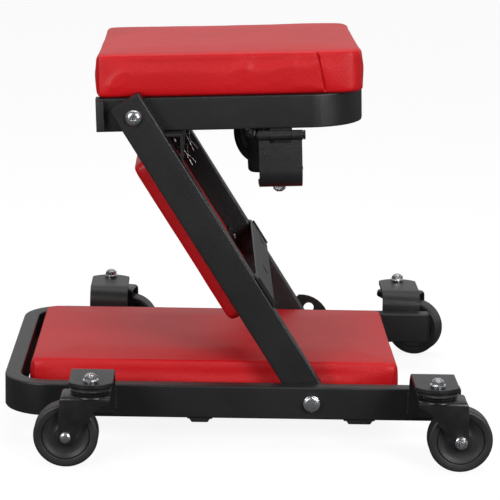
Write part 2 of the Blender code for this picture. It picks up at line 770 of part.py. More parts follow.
def base_casters(meshes):
    bracket = base_bracket_mesh()
    swivels = {"near_left": 0, "near_right": 180, "far_left": 170, "far_right": 155}
    for end, x in (("left", CASTER_LEFT), ("right", CASTER_RIGHT)):
        for side, sign in SIDES.items():
            name = f"{side}_{end}"
            stem = Matrix.Translation((x, sign * (BASE_HALF_WIDTH + BRACKET_REACH), PLATE_TOP))
            outward = Matrix.Identity(4) if sign < 0 else Matrix.Rotation(math.pi, 4, "Z")
            place(f"caster_bracket_{name}", bracket, BLACK_PAINT, matrix=stem @ outward)
            caster(name, meshes, stem, math.radians(swivels[name]))


# ---------------------------------------------------------------- seat section


def seat_frame_mesh():
    """The seat's U of tube, open at the pivots, with a hinge knuckle under each rail."""
    tube = bent_tube(SEAT_NOSE, -SEAT_TAIL, SEAT_HALF_WIDTH, SEAT_CORNER)
    tube = cut(tube, cross_hole(0, PIVOT_RADIUS + FIT, SEAT_HALF_WIDTH))
    rail_low = -TUBE_HEIGHT / 2
    for sign in (-1, 1):
        pin = Vector((HEAD_CASTER_X, sign * (SEAT_HALF_WIDTH + HEAD_PIN_OUT), -HEAD_PIN_DROP))
        barrel = knuckle(-KNUCKLE_SPLIT, KNUCKLE_SPLIT)
        barrel.data.transform(Matrix.Translation(pin))
        edge = sorted((sign * (SEAT_HALF_WIDTH - 12 * MM), pin.y))
        low = (pin.x - KNUCKLE_SPLIT, edge[0], rail_low - 4.5 * MM)
        high = (pin.x + KNUCKLE_SPLIT, edge[1], rail_low + 0.6 * MM)
        tube = join(tube, box(low, high), barrel)
        bore = cylinder(4.2 * MM, (pin.x - 0.05, pin.y, pin.z), (pin.x + 0.05, pin.y, pin.z), 12)
        tube = cut(tube, bore)
    return finished(tube)


def hinge_pin_mesh():
    """A headed pin through the three knuckles, along X."""
    reach = BRACKET_WIDTH / 2 + 2.5 * MM
    pin = cylinder(3.9 * MM, (-reach, 0, 0), (reach, 0, 0), 12)
    head = cylinder(5.6 * MM, (reach - MM, 0, 0), (reach + 1.5 * MM, 0, 0), 12)
    return finished(join(head, pin))


def head_casters(frame_hinge, meshes):
    """Two casters on hinged brackets, folded under the seat."""
    bracket = head_bracket_mesh()
    pin = hinge_pin_mesh()
    swivels = {"near": 45, "far": 135}
    for side, sign in SIDES.items():
        outward = Matrix.Identity(4) if sign < 0 else Matrix.Rotation(math.pi, 4, "Z")
        pin_y = sign * (SEAT_HALF_WIDTH + HEAD_PIN_OUT)
        axis = Matrix.Translation((HEAD_CASTER_X, pin_y, -HEAD_PIN_DROP)) @ outward
        place(f"head_hinge_pin_{side}", pin, ZINC, frame_hinge, axis)
        folded = axis @ Matrix.Rotation(HEAD_BRACKET_HANG, 4, "X")
        fold = joint_frame(f"head_fold_{side}", folded, frame_hinge)
        stem = Matrix.Translation((0, -BRACKET_REACH, HEAD_BRACKET_RISE))
        place(f"head_bracket_{side}", bracket, BLACK_PAINT, fold, stem)
        caster(f"head_{side}", meshes, stem, math.radians(swivels[side]), fold)


def seat_section(middle_hinge, meshes):
    level = Matrix.Rotation(STRUT_TURN - SEAT_TILT, 4, "Y")
    hinge = joint_frame("seat_hinge", Matrix.Translation((STRUT_LENGTH, 0, 0)) @ level, middle_hinge)
    place("seat_frame", seat_frame_mesh(), BLACK_PAINT, hinge)
    pad_and_board("seat", SEAT_PAD, hinge)
    head_casters(hinge, meshes)


# ---------------------------------------------------------------- assembly

CASTER_MESHES = caster_meshes()
base_frame()
base_end_caps()
base_straps()
lock_plate()
pad_and_board("base", BASE_PAD)
base_casters(CASTER_MESHES)
MIDDLE_HINGE = middle_section()
pivot_bolts(MIDDLE_HINGE)
seat_section(MIDDLE_HINGE, CASTER_MESHES)
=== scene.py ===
"""The folding mechanics creeper's finished look: vinyl pads, fine casters, fasteners, welds and finishes."""

import json
import math

import bmesh
import bpy
from mathutils import Matrix, Vector, noise


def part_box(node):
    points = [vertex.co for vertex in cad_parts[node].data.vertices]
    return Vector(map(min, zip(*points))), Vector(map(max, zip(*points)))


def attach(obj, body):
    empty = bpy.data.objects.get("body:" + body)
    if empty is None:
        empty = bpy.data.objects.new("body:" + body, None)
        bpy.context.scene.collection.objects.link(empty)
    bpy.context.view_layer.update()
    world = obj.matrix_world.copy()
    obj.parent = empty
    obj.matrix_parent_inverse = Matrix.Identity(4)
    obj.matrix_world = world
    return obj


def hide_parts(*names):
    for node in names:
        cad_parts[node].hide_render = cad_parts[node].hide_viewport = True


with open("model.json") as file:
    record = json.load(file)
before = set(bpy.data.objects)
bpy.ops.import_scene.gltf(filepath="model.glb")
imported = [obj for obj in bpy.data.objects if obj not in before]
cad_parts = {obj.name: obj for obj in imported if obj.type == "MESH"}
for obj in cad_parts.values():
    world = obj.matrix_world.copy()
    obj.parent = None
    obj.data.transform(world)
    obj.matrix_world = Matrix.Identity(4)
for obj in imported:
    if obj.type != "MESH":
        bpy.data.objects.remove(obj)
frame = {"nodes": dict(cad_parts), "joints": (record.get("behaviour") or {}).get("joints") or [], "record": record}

MM = 0.001
SCENE = bpy.context.scene
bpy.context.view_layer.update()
JOINTS = {joint["name"]: joint for joint in frame["joints"]}
MOUNTS = {mount["name"]: mount for mount in frame["record"]["mounts"]}
BASE_CASTERS = ("near_left", "near_right", "far_left", "far_right")
HEAD_CASTERS = ("head_near", "head_far")
SIDES = {"near": -1, "far": 1}

# Tube that the three frames are made of
TUBE_HEIGHT = 40 * MM
TUBE_WIDTH = 20 * MM
TUBE_WALL = 2 * MM

# Casters, from the top of the bracket's plate downward
WHEEL_RADIUS = 37.5 * MM
CASTER_TRAIL = 28 * MM
AXLE_DROP = 61.5 * MM
PLATE_THICKNESS = 5 * MM
CROWN_DROP = 12.4 * MM
FORK_HALF = 18 * MM
FORK_SHEET = 2.8 * MM
GAP = 0.3 * MM

# The radius of a turned shape's ends on its axis, where no face may shrink to nothing
TIP = 0.000001


# ---------------------------------------------------------------- places


def axes_matrix(origin, x, y, z):
    """The matrix of a frame with these unit axes at this origin."""
    made = Matrix((x, y, z)).transposed().to_4x4()
    made.translation = origin
    return made


def joint_place(name):
    return Vector(JOINTS[name]["pos_m"])


ACROSS = Vector((0, 1, 0))
LOWER_PIVOT = joint_place("middle_fold")
UPPER_PIVOT = joint_place("seat_fold")
STRUT_WAY = (UPPER_PIVOT - LOWER_PIVOT).normalized()
SEAT_UP = Vector(MOUNTS["seat_top"]["axis"]).normalized()
BASE = Matrix.Identity(4)
MIDDLE = axes_matrix(LOWER_PIVOT, STRUT_WAY, ACROSS, STRUT_WAY.cross(ACROSS))
SEAT = axes_matrix(UPPER_PIVOT, ACROSS.cross(SEAT_UP), ACROSS, SEAT_UP)


def local_box(node, section):
    """Lowest and highest corner of a CAD node in a section's own axes."""
    back = section.inverted()
    points = [back @ vertex.co for vertex in frame["nodes"][node].data.vertices]
    return Vector(map(min, *points)), Vector(map(max, *points))


def caster_frame(name):
    """A caster's fork frame: origin on the plate's top, Z up the stem, Y along the axle."""
    stem = JOINTS[f"swivel_{name}"]
    up = Vector(stem["axis"]).normalized()
    axle = Vector(JOINTS[f"roll_{name}"]["axis"]).normalized()
    return axes_matrix(Vector(stem["pos_m"]), axle.cross(up), axle, up)


# ---------------------------------------------------------------- finishes


def start_finish(name, metallic=0.0):
    made = bpy.data.materials.new(name)
    made.use_nodes = True
    tree = made.node_tree
    shader = tree.nodes["Principled BSDF"]
    shader.inputs["Metallic"].default_value = metallic
    place = tree.nodes.new("ShaderNodeTexCoord").outputs["Object"]
    return made, tree, shader, place


def speckle(tree, place, scale, detail=2.0, stretch=None):
    """A noise pattern, its scale in cells per metre."""
    if stretch:
        mapping = tree.nodes.new("ShaderNodeMapping")
        mapping.inputs["Scale"].default_value = stretch
        tree.links.new(place, mapping.inputs["Vector"])
        place = mapping.outputs["Vector"]
    made = tree.nodes.new("ShaderNodeTexNoise")
    made.inputs["Scale"].default_value = scale
    made.inputs["Detail"].default_value = detail
    tree.links.new(place, made.inputs["Vector"])
    return made.outputs["Fac"]


def cells(tree, place, scale, feature="F1"):
    made = tree.nodes.new("ShaderNodeTexVoronoi")
    made.feature = feature
    made.inputs["Scale"].default_value = scale
    tree.links.new(place, made.inputs["Vector"])
    return made.outputs["Distance"]


def drive(tree, target, pattern, first, second, low=0.3, high=0.7):
    """Lets a pattern drive a shader's input, from one colour or grey to another."""
    made = tree.nodes.new("ShaderNodeValToRGB")
    for stop, position, colour in zip(made.color_ramp.elements, (low, high), (first, second)):
        stop.position = position
        stop.color = (*colour, 1) if isinstance(colour, tuple) else (colour, colour, colour, 1)
    tree.links.new(pattern, made.inputs["Fac"])
    tree.links.new(made.outputs["Color"], target)


def relief(tree, shader, *layers):
    """Stacks bump layers, each a pattern and its height in metres."""
    normal = None
    for pattern, height in layers:
        bump = tree.nodes.new("ShaderNodeBump")
        bump.inputs["Distance"].default_value = height
        tree.links.new(pattern, bump.inputs["Height"])
        if normal:
            tree.links.new(normal, bump.inputs["Normal"])
        normal = bump.outputs["Normal"]
    tree.links.new(normal, shader.inputs["Normal"])


def powder_coat():
    """Satin black powder coat: a fine orange peel with a sprinkle of slightly glossier grains."""
    made, tree, shader, place = start_finish("black_powder_coat")
    peel = speckle(tree, place, 900, 3)
    grain = cells(tree, place, 1600)
    cloud = speckle(tree, place, 14, 3)
    drive(tree, shader.inputs["Base Color"], cloud, (0.0125, 0.0125, 0.0135), (0.019, 0.019, 0.0205))
    drive(tree, shader.inputs["Roughness"], peel, 0.3, 0.43)
    relief(tree, shader, (peel, 0.00016), (grain, 0.00009))
    return made


def stamped_black():
    """Glossier black on the casters' stamped steel."""
    made, tree, shader, place = start_finish("black_stamped_steel")
    cloud = speckle(tree, place, 60, 4)
    peel = speckle(tree, place, 1200, 2)
    drive(tree, shader.inputs["Base Color"], cloud, (0.011, 0.011, 0.012), (0.017, 0.017, 0.018))
    drive(tree, shader.inputs["Roughness"], cloud, 0.24, 0.42)
    relief(tree, shader, (peel, 0.00005), (cloud, 0.0002))
    return made


def vinyl():
    """Red upholstery vinyl with a shallow leather grain."""
    made, tree, shader, place = start_finish("red_vinyl_cover")
    pebbles = cells(tree, place, 620, "SMOOTH_F1")
    creases = cells(tree, place, 330, "DISTANCE_TO_EDGE")
    cloud = speckle(tree, place, 9, 3)
    fine = speckle(tree, place, 1500, 2)
    drive(tree, shader.inputs["Base Color"], cloud, (0.6, 0.0025, 0.0065), (0.68, 0.004, 0.009))
    drive(tree, shader.inputs["Roughness"], fine, 0.4, 0.5)
    shader.inputs["Specular IOR Level"].default_value = 0.42
    relief(tree, shader, (pebbles, 0.00022), (creases, 0.00012), (fine, 0.00003))
    return made


def zinc():
    """Bright zinc plate with a faint blue cast and handling marks."""
    made, tree, shader, place = start_finish("bright_zinc", 1.0)
    cloud = speckle(tree, place, 260, 4)
    marks = speckle(tree, place, 900, 2, (1, 1, 0.15))
    drive(tree, shader.inputs["Base Color"], cloud, (0.52, 0.53, 0.55), (0.8, 0.81, 0.83))
    drive(tree, shader.inputs["Roughness"], marks, 0.18, 0.36)
    relief(tree, shader, (marks, 0.00006))
    return made


def wheel_moulding():
    """Hard black wheel moulding, a little greyer where it is scuffed."""
    made, tree, shader, place = start_finish("black_wheel_moulding")
    scuff = speckle(tree, place, 45, 5)
    fine = speckle(tree, place, 1100, 3)
    drive(tree, shader.inputs["Base Color"], scuff, (0.02, 0.0195, 0.021), (0.031, 0.03, 0.032))
    drive(tree, shader.inputs["Roughness"], scuff, 0.38, 0.52)
    relief(tree, shader, (fine, 0.00006))
    return made


def moulded_plastic():
    """Fine matte black plastic for plugs."""
    made, tree, shader, place = start_finish("black_plastic_plug")
    fine = speckle(tree, place, 2200, 2)
    drive(tree, shader.inputs["Base Color"], fine, (0.013, 0.013, 0.014), (0.02, 0.02, 0.021))
    drive(tree, shader.inputs["Roughness"], fine, 0.45, 0.6)
    relief(tree, shader, (fine, 0.00008))
    return made


def near_black_board_and_painted_shade():
    """Plywood coloured near black, its long grain along X still showing; the near black is partly painted shade,
    so the board seen in the gap under a pad reads as a shadowed gap.
    """
    made, tree, shader, place = start_finish("near_black_board_painted_shade")
    grain = speckle(tree, place, 60, 6, (0.12, 1, 1))
    pores = speckle(tree, place, 700, 2, (0.08, 1, 1))
    colour = shader.inputs["Base Color"]
    # Painted shade: the board's near-black tone also stands in for the shadow in the gap under the pads.
    drive(tree, colour, grain, (0.008, 0.0075, 0.007), (0.022, 0.019, 0.017), 0.35, 0.65)
    drive(tree, shader.inputs["Roughness"], pores, 0.6, 0.85)
    relief(tree, shader, (grain, 0.0002), (pores, 0.00015))
    return made


POWDER = powder_coat()
STAMPED = stamped_black()
VINYL = vinyl()
ZINC = zinc()
MOULDING = wheel_moulding()
PLASTIC = moulded_plastic()
BOARD = near_black_board_and_painted_shade()


# ---------------------------------------------------------------- shape tools


def put(name, mesh, body, finish, matrix=None):
    """Shows a mesh as one piece that rides on a body."""
    obj = bpy.data.objects.new(name, mesh)
    SCENE.collection.objects.link(obj)
    if not mesh.materials:
        mesh.materials.append(finish)
    if matrix is not None:
        obj.matrix_world = matrix
    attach(obj, body)
    return obj


def finished(shape, name, sharp=32):
    """Turns a bmesh into a mesh, shaded smooth except at its sharp edges."""
    bmesh.ops.remove_doubles(shape, verts=shape.verts, dist=0.000002)
    bmesh.ops.recalc_face_normals(shape, faces=shape.faces)
    mesh = bpy.data.meshes.new(name)
    shape.to_mesh(mesh)
    shape.free()
    mesh.shade_smooth()
    mesh.set_sharp_from_angle(angle=math.radians(sharp))
    return mesh


def loft(shape, rings, closed=False):
    """Adds a surface through rings of equal length. Unless closed on itself, its ends are capped."""
    loops = [[shape.verts.new(point) for point in ring] for ring in rings]
    following = loops[1:] + ([loops[0]] if closed else [])
    for first, second in zip(loops, following):
        for i, start in enumerate(first):
            j = (i + 1) % len(first)
            shape.faces.new((start, first[j], second[j], second[i]))
    if not closed:
        shape.faces.new(loops[0][::-1])
        shape.faces.new(loops[-1])


def circle(radius, z, steps):
    """A ring of points about Z. The radius may be a function of the angle."""
    ring = []
    for i in range(steps):
        angle = math.tau * i / steps
        r = radius(angle) if callable(radius) else radius
        ring.append((r * math.cos(angle), r * math.sin(angle), z))
    return ring


def turn(shape, profile, steps=48, closed=False):
    """Adds a solid of revolution about Z from (radius, height) points."""
    loft(shape, [circle(r if callable(r) else max(r, TIP), z, steps) for r, z in profile], closed)


def hexagon(apothem):
    """The radius of a hexagon at an angle."""
    return lambda angle: apothem / math.cos((angle + math.pi / 6) % (math.pi / 3) - math.pi / 6)


def hex_prism(shape, apothem, low, high, steps=72):
    """Adds a nut or bolt head about Z, its corners chamfered at both ends."""
    edge = hexagon(apothem)
    chamfer = math.tan(math.radians(28))

    def ring(end, way):
        points = []
        for i in range(steps):
            angle = math.tau * i / steps
            drop = (edge(angle) - apothem * 0.985) * chamfer
            radius = edge(angle)
            points.append((radius * math.cos(angle), radius * math.sin(angle), end + way * drop))
        return points

    rings = [
        circle(TIP, low, steps),
        circle(apothem * 0.97, low, steps),
        ring(low, 1),
        ring(high, -1),
        circle(apothem * 0.97, high, steps),
        circle(TIP, high, steps),
    ]
    loft(shape, rings)


def thread(shape, radius, low, high, pitch=1.25 * MM, steps=24):
    """Adds a threaded end about Z: rings that step in and out like a worn thread."""
    count = max(2, int((high - low) / pitch))
    profile = [(0, low)]
    for i in range(count):
        start = low + (high - low) * i / count
        profile += [(radius * 0.9, start), (radius, start + pitch * 0.5)]
    profile += [(radius * 0.78, high), (0, high)]
    turn(shape, profile, steps)


def moved(mesh, matrix):
    made = mesh.copy()
    made.transform(matrix)
    return made


def baked(obj):
    """The object's mesh with its modifiers in it."""
    bpy.context.view_layer.update()
    graph = bpy.context.evaluated_depsgraph_get()
    return bpy.data.meshes.new_from_object(obj.evaluated_get(graph))


def loose(mesh):
    """An object that only lasts while its modifiers are baked."""
    obj = bpy.data.objects.new("loose", mesh)
    SCENE.collection.objects.link(obj)
    return obj


def boolean(operation, first, second):
    """Joins, cuts or intersects two meshes and returns the result."""
    target, other = loose(first), loose(second)
    modifier = target.modifiers.new("combine", "BOOLEAN")
    modifier.operation = operation
    modifier.object = other
    made = baked(target)
    bpy.data.objects.remove(target)
    bpy.data.objects.remove(other)
    return made


def edged(mesh, width, angle):
    """Rounds a mesh's sharp edges a little."""
    obj = loose(mesh)
    bevel = obj.modifiers.new("edge", "BEVEL")
    bevel.width = width
    bevel.segments = 2
    bevel.limit_method = "ANGLE"
    bevel.angle_limit = math.radians(angle)
    made = baked(obj)
    bpy.data.objects.remove(obj)
    made.shade_smooth()
    made.set_sharp_from_angle(angle=math.radians(50))
    return made


def arc(centre, radius, start, end, steps):
    """Points on an arc, from one angle to another in degrees."""
    angles = [math.radians(start + (end - start) * i / steps) for i in range(steps + 1)]
    return [(centre[0] + radius * math.cos(a), centre[1] + radius * math.sin(a)) for a in angles]


def slab(points, low, high, across="Z"):
    """A flat outline given as (x, y), or as (x, z) if it is thick along Y, or as (y, z) along X."""
    shape = bmesh.new()
    orders = {"Z": lambda u, v, w: (u, v, w), "Y": lambda u, v, w: (u, w, v), "X": lambda u, v, w: (w, u, v)}
    order = orders[across]
    loft(shape, [[order(u, v, w) for u, v in points] for w in (low, high)])
    return finished(shape, "slab")


def box_mesh(low, high):
    return slab([(low[0], low[1]), (high[0], low[1]), (high[0], high[1]), (low[0], high[1])], low[2], high[2])


def mm(*points):
    """Points given in millimetres."""
    return [tuple(value * MM for value in point) for point in points]


def smoothstep(value, low, high):
    share = min(1.0, max(0.0, (value - low) / (high - low)))
    return share * share * (3 - 2 * share)


# ---------------------------------------------------------------- the CAD parts that stay


def dress(node, finish, edge):
    """Gives a CAD node its finish and the small rounded edges that bending, grinding and paint leave."""
    obj = frame["nodes"][node]
    mesh = obj.data
    for stale in ("custom_normal", "sharp_edge", "sharp_face"):
        if stale in mesh.attributes:
            mesh.attributes.remove(mesh.attributes[stale])
    mesh.materials.clear()
    mesh.materials.append(finish)
    mesh.shade_smooth()
    weld = obj.modifiers.new("weld", "WELD")
    weld.merge_threshold = 0.00001
    bevel = obj.modifiers.new("edge", "BEVEL")
    bevel.width = edge
    bevel.segments = 2
    bevel.limit_method = "ANGLE"
    bevel.angle_limit = math.radians(34)
    normals = obj.modifiers.new("normals", "WEIGHTED_NORMAL")
    normals.keep_sharp = False
    normals.weight = 80


def dress_frame():
    for node in ("base_frame", "strut_near", "strut_far", "seat_frame"):
        dress(node, POWDER, 0.6 * MM)
    for node in ("base_strap_left", "base_strap_right", "lock_plate", "cross_plate", "stop_angle"):
        dress(node, POWDER, 0.5 * MM)
    for name in BASE_CASTERS:
        dress(f"caster_bracket_{name}", POWDER, 0.6 * MM)
    for side in SIDES:
        dress(f"head_bracket_{side}", POWDER, 0.6 * MM)
        dress(f"head_hinge_pin_{side}", STAMPED, 0.4 * MM)
        dress(f"base_end_cap_{side}", PLASTIC, 0.7 * MM)
    for node in ("base_board", "mid_board", "seat_board"):
        dress(node, BOARD, 0.6 * MM)


# ---------------------------------------------------------------- casters


def wheel_mesh():
    """One-piece wheel about Y: rounded shoulders, a groove inside the tread and a dished web."""
    shoulder = mm(*arc((34.3, 9.2), 3.2, 90, 4, 7))
    side = [
        *mm((4.4, 14.3), (10, 14.3), (10.9, 13.7), (12.1, 10.2), (14.5, 9.1), (19, 8.9), (23.5, 9.9)),
        *mm((26, 11.5), (26.6, 11.6), (26.9, 10.2), (27.9, 10.2), (28.3, 12), (29, 12.4)),
        *shoulder,
        (WHEEL_RADIUS - 0.15 * MM, 4 * MM),
        (WHEEL_RADIUS - 0.05 * MM, 0.35 * MM),
    ]
    shape = bmesh.new()
    turn(shape, side + [(r, -z) for r, z in reversed(side)], 112, closed=True)
    mesh = finished(shape, "wheel", 40)
    mesh.transform(Matrix.Rotation(math.radians(90), 4, "X"))
    return mesh


def fork_mesh():
    """Stamped fork: an inverted U of sheet trimmed to its side outline, a bearing cup on its crown."""
    top = -CROWN_DROP
    foot = -AXLE_DROP - 10 * MM
    bend, sheet, half = 5 * MM, FORK_SHEET, FORK_HALF
    left, right = (bend - half, top - bend), (half - bend, top - bend)
    outer = arc(right, bend, 0, 90, 6) + arc(left, bend, 90, 180, 6)
    inner = arc(left, bend - sheet, 180, 90, 6) + arc(right, bend - sheet, 90, 0, 6)
    section = [(half, foot), *outer, (-half, foot), (-half + sheet, foot), *inner, (half - sheet, foot)]
    channel = slab(section, -50 * MM, 40 * MM, "X")
    axle = (-CASTER_TRAIL, -AXLE_DROP)
    side = [
        (-27 * MM, top + MM),
        *arc((-28.5 * MM, top - 6.5 * MM), 6.5 * MM, 90, 180, 6),
        (-36.6 * MM, axle[1]),
        *arc(axle, 8.6 * MM, 188, 325, 10),
        *mm((-15, -57.5), (-6.5, -45.6), (-1.9, -41.3), (3.6, -33.3), (9, -25.6), (12.5, -23.5), (21, -20.6)),
        (23 * MM, top - 6.5 * MM),
        (23 * MM, top + MM),
    ]
    trim = slab(side, -0.03, 0.03, "Y")
    fork = boolean("INTERSECT", channel, trim)
    cup = bmesh.new()
    profile = mm((0, 0.2), (20, 0.2), (21.4, -0.8), (22, -2.4), (0, -2.4))
    turn(cup, [(r, top + z) for r, z in profile], 48)
    fork = boolean("UNION", fork, finished(cup, "cup"))
    bore = bmesh.new()
    turn(bore, [(0, 0), (5.4 * MM, 0), (5.4 * MM, -0.03), (0, -0.03)], 24)
    fork = boolean("DIFFERENCE", fork, finished(bore, "bore"))
    return edged(fork, 0.55 * MM, 35)


def race_mesh():
    """Swivel bearing: an upper cup, a toothed rim and a lower cup that close on a ring of balls."""
    top = -PLATE_THICKNESS - GAP
    shape = bmesh.new()
    upper = mm((5.8, 0), (21, 0), (23.6, -0.5), (24.2, -1.3), (23.6, -2), (19, -2.4), (5.8, -2.4))
    turn(shape, [(r, top + z) for r, z in upper], 72, closed=True)
    teeth = 34

    def toothed(reach, depth):
        return lambda angle: reach - depth * smoothstep(math.cos(angle * teeth), -0.35, 0.35)

    low = top - 3.1 * MM
    edge = toothed(23.4 * MM, 1.5 * MM)
    rings = [
        circle(6 * MM, low, teeth * 6),
        circle(toothed(22.9 * MM, 1.4 * MM), low, teeth * 6),
        circle(edge, low - 0.4 * MM, teeth * 6),
        circle(edge, low - 1.7 * MM, teeth * 6),
        circle(toothed(22.4 * MM, 1.2 * MM), low - 2.1 * MM, teeth * 6),
        circle(6 * MM, low - 2.1 * MM, teeth * 6),
    ]
    loft(shape, rings, closed=True)
    lower = mm((6, -2.3), (19.6, -2.3), (20.8, -2.9), (20.6, -3.8), (6, -3.8))
    turn(shape, [(r, low + z) for r, z in lower], 64, closed=True)
    balls = 20
    ball_circle = 19.4 * MM
    for i in range(balls):
        angle = math.tau * i / balls
        x, y = ball_circle * math.cos(angle), ball_circle * math.sin(angle)
        spot = Matrix.Translation((x, y, low + 0.1 * MM))
        bmesh.ops.create_icosphere(shape, subdivisions=2, radius=1.55 * MM, matrix=spot)
    return finished(shape, "race", 38)


def kingpin_mesh():
    """Swivel bolt: spacer, washer, lock nut with its collar, threaded end and the head in the crown."""
    shape = bmesh.new()
    turn(shape, mm((0, 0.25), (7.6, 0.25), (8, 0.6), (8, 2.3), (0, 2.3)), 40)
    turn(shape, mm((0, 2.2), (9.1, 2.2), (9.4, 2.5), (9.4, 3), (9, 3.4), (0, 3.4)), 48)
    hex_prism(shape, 6.7 * MM, 3.3 * MM, 7.9 * MM)
    turn(shape, mm((0, 7.6), (6.1, 7.7), (6, 8.7), (5.4, 9.2), (4.6, 9.3), (4.5, 8.7), (0, 8.7)), 40)
    thread(shape, 4.2 * MM, 8.4 * MM, 10.4 * MM)
    turn(shape, mm((0, -17), (4.9, -17), (4.9, 3), (0, 3)), 32)
    hex_prism(shape, 7.4 * MM, -19.5 * MM, -16 * MM)
    return finished(shape, "kingpin")


def axle_mesh():
    """Axle bolt along Y: a domed head at -Y, and at +Y a flanged lock nut over the threaded end."""
    shape = bmesh.new()
    face = FORK_HALF + GAP
    dome = [(r, face + z) for r, z in ((6.7 * MM, 0), (6.8 * MM, 0.5 * MM), (6.5 * MM, 1.3 * MM))]
    rim = face + 1.3 * MM
    crown = [(6.1 * MM * math.cos(a), rim + 2 * MM * math.sin(a)) for a in (0.25, 0.55, 0.85, 1.15, 1.4)]
    turn(shape, [(0, face), *dome, *crown, (0, face + 3.3 * MM)], 40)
    turn(shape, [(0, -face - 2 * MM), (4 * MM, -face - 2 * MM), (4 * MM, face + MM), (0, face + MM)], 32)
    flange = -face
    washer = mm((0, 0), (7.4, 0), (7.5, -0.6), (6.3, -1.5), (0, -1.5))
    turn(shape, [(r, flange + z) for r, z in washer], 40)
    hex_prism(shape, 5.7 * MM, flange - 4.8 * MM, flange - 1.1 * MM)
    collar = mm((0, -4.6), (5.1, -4.6), (4.9, -5.5), (3.9, -5.7), (3.8, -5), (0, -5))
    turn(shape, [(r, flange + z) for r, z in collar], 32)
    thread(shape, 3.6 * MM, flange - 5.2 * MM, flange - 7 * MM, MM)
    mesh = finished(shape, "axle")
    mesh.transform(Matrix.Rotation(math.radians(90), 4, "X"))
    return mesh


def casters():
    meshes = {
        "wheel": wheel_mesh(),
        "fork": fork_mesh(),
        "race": race_mesh(),
        "kingpin": kingpin_mesh(),
        "axle": axle_mesh(),
    }
    for name in BASE_CASTERS + HEAD_CASTERS:
        stem = caster_frame(name)
        axle = stem @ Matrix.Translation((-CASTER_TRAIL, 0, -AXLE_DROP))
        fixed = "base" if name in BASE_CASTERS else name.replace("head_", "head_arm_")
        plan = (
            ("wheel", f"wheel_{name}", MOULDING, "wheel_rubber", axle),
            ("fork", f"fork_{name}", STAMPED, "caster_steel", stem),
            ("race", fixed, STAMPED, "caster_steel", stem),
            ("kingpin", fixed, ZINC, "zinc", stem),
            ("axle", f"fork_{name}", ZINC, "zinc", axle),
        )
        for kind, body, finish, slot, matrix in plan:
            piece = put(f"{kind}_{name}_finished", meshes[kind], body, finish, matrix)
            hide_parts(f"{kind}_{name}")


# ---------------------------------------------------------------- fasteners


def bolt_frame(point, outward):
    """A frame whose Z points out of the face that a bolt's head sits on."""
    outward = Vector(outward).normalized()
    side = Vector((1, 0, 0)) if abs(outward.x) < 0.9 else Vector((0, 1, 0))
    x = (side - outward * side.dot(outward)).normalized()
    return axes_matrix(Vector(point), x, outward.cross(x), outward)


def shank_and_nut(shape, grip):
    """Adds a bolt's shank, its Z pointing out of the head, and a lock nut at the far end of its grip."""
    turn(shape, [(0, -grip - 10 * MM), (5 * MM, -grip - 10 * MM), (5 * MM, 2 * MM), (0, 2 * MM)], 32)
    hex_prism(shape, 7.4 * MM, -grip - 7.6 * MM, -grip - GAP)


def hex_bolt_mesh(grip):
    """Hex-head bolt with a washer and a lock nut."""
    shape = bmesh.new()
    turn(shape, mm((0, 0.3), (9.7, 0.3), (10, 0.7), (9.9, 1.5), (9.4, 1.8), (0, 1.8)), 48)
    hex_prism(shape, 7.9 * MM, 1.7 * MM, 7.3 * MM)
    shank_and_nut(shape, grip)
    return finished(shape, "hex_bolt")


def socket_bolt_mesh(grip):
    """Round-headed bolt with a hexagon socket and a lock nut."""
    shape = bmesh.new()
    head = mm((0, 0.3), (9.4, 0.3), (9.9, 0.8), (9.8, 2.6), (9, 4.4), (7.4, 5.9), (5.4, 6.8), (4, 7.1))
    socket = [(hexagon(3.1 * MM), 7 * MM), (hexagon(3 * MM), 3.2 * MM), (0, 2.7 * MM)]
    turn(shape, head + socket, 72)
    shank_and_nut(shape, grip)
    return finished(shape, "socket_bolt")


def pivot_bolts():
    """The bolts that the middle section and the seat turn on."""
    strut_outer = local_box("strut_far", MIDDLE)[1].y
    rail_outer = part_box("base_frame")[1].y
    seat_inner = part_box("seat_frame")[1].y - TUBE_WIDTH
    lower = hex_bolt_mesh(rail_outer - strut_outer + TUBE_WIDTH)
    upper = socket_bolt_mesh(strut_outer - seat_inner)
    for side, sign in SIDES.items():
        place = bolt_frame(LOWER_PIVOT + ACROSS * sign * rail_outer, (0, sign, 0))
        piece = put(f"lower_pivot_bolt_{side}_finished", lower, "base", ZINC, place)
        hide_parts(f"lower_pivot_bolt_{side}")
        place = bolt_frame(UPPER_PIVOT + ACROSS * sign * strut_outer, (0, sign, 0))
        piece = put(f"upper_pivot_bolt_{side}_finished", upper, "middle", ZINC, place)
        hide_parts(f"upper_pivot_bolt_{side}")


def screw_mesh():
    """Pan-head screw with a cross recess, its Z pointing out of the head."""
    shape = bmesh.new()
    head = mm((3.6, 0), (4.1, 0.5), (4, 1.3), (3.2, 2.1), (1.8, 2.5), (0, 2.6))
    turn(shape, mm((0, -6), (1.9, -6), (1.9, 0)) + head, 32)
    head = finished(shape, "screw")
    for low, high in (((-2.2, -0.45, 1.2), (2.2, 0.45, 3.2)), ((-0.45, -2.2, 1.2), (0.45, 2.2, 3.2))):
        slot = box_mesh([v * MM for v in low], [v * MM for v in high])
        head = boolean("DIFFERENCE", head, slot)
    head.shade_smooth()
    head.set_sharp_from_angle(angle=math.radians(35))
    return head


def joined(name, meshes):
    """Several meshes as one, each staying its own closed body."""
    shape = bmesh.new()
    for mesh in meshes:
        shape.from_mesh(mesh)
    made = bpy.data.meshes.new(name)
    shape.to_mesh(made)
    shape.free()
    made.shade_smooth()
    made.set_sharp_from_angle(angle=math.radians(35))
    return made


